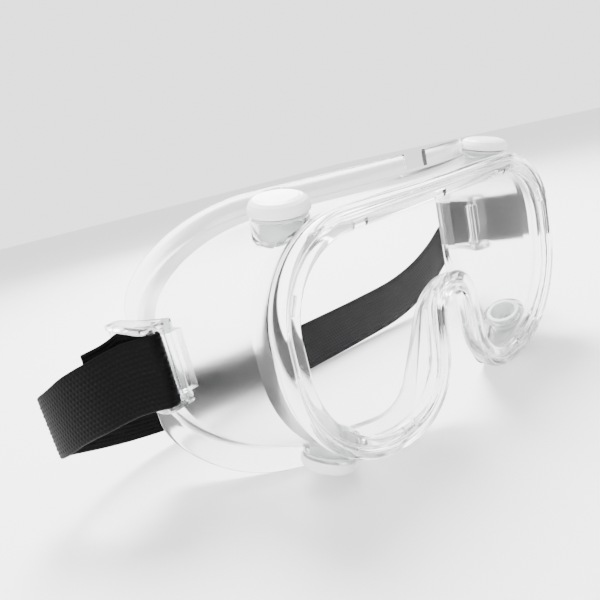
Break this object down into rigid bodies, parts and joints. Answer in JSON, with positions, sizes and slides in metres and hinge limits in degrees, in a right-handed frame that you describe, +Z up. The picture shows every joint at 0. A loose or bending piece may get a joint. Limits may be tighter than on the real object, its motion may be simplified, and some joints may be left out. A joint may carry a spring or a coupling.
{
  "type": "safety goggles",
  "caption": "Chemical splash goggles with a clear soft frame, a snapped-in clear lens, baffled vents, hinged strap clips and a woven elastic strap.",
  "frame": {"origin": "on the surface it stands on, under the middle of the object's box", "axes": "+Z up as worn, the lens faces -Y, +X is the wearer's left"},
  "size_m": [0.2469, 0.0998, 0.099],
  "materials": {
    "body_pvc": "frosted translucent soft PVC, glossy at the rim bead",
    "lens_polycarbonate": "clear polished polycarbonate sheet",
    "vent_seat_plastic": "milky translucent moulded plastic",
    "vent_cap_plastic": "white moulded plastic, satin",
    "clip_plastic": "clear rigid moulded plastic",
    "pin_plastic": "clear rigid moulded plastic",
    "strap_webbing": "black woven elastic webbing with fine ribs"
  },
  "bodies": {
    "goggles": {"frame_body": "body_pvc", "lens": "lens_polycarbonate", "vent_seat_top_right": "vent_seat_plastic", "vent_seat_top_left": "vent_seat_plastic", "vent_seat_bottom_right": "vent_seat_plastic", "vent_seat_bottom_left": "vent_seat_plastic", "vent_cap_top_right": "vent_cap_plastic", "vent_cap_top_left": "vent_cap_plastic", "vent_cap_bottom_right": "vent_cap_plastic", "vent_cap_bottom_left": "vent_cap_plastic", "strap_back": "strap_webbing"},
    "right_clip": {"clip_right": "clip_plastic", "clip_pin_right": "pin_plastic", "strap_end_right": "strap_webbing"},
    "left_clip": {"clip_left": "clip_plastic", "clip_pin_left": "pin_plastic", "strap_end_left": "strap_webbing"}
  },
  "joints": [
    {"name": "right_clip_hinge", "type": "hinge", "parent": "goggles", "child": "right_clip", "pos_m": [-0.08687, -0.00345, 0.052], "axis": [0, 0, 1], "range_deg": [0, 35]},
    {"name": "left_clip_hinge", "type": "hinge", "parent": "goggles", "child": "left_clip", "pos_m": [0.09613, -0.00345, 0.052], "axis": [0, 0, -1], "range_deg": [0, 35]}
  ]
}
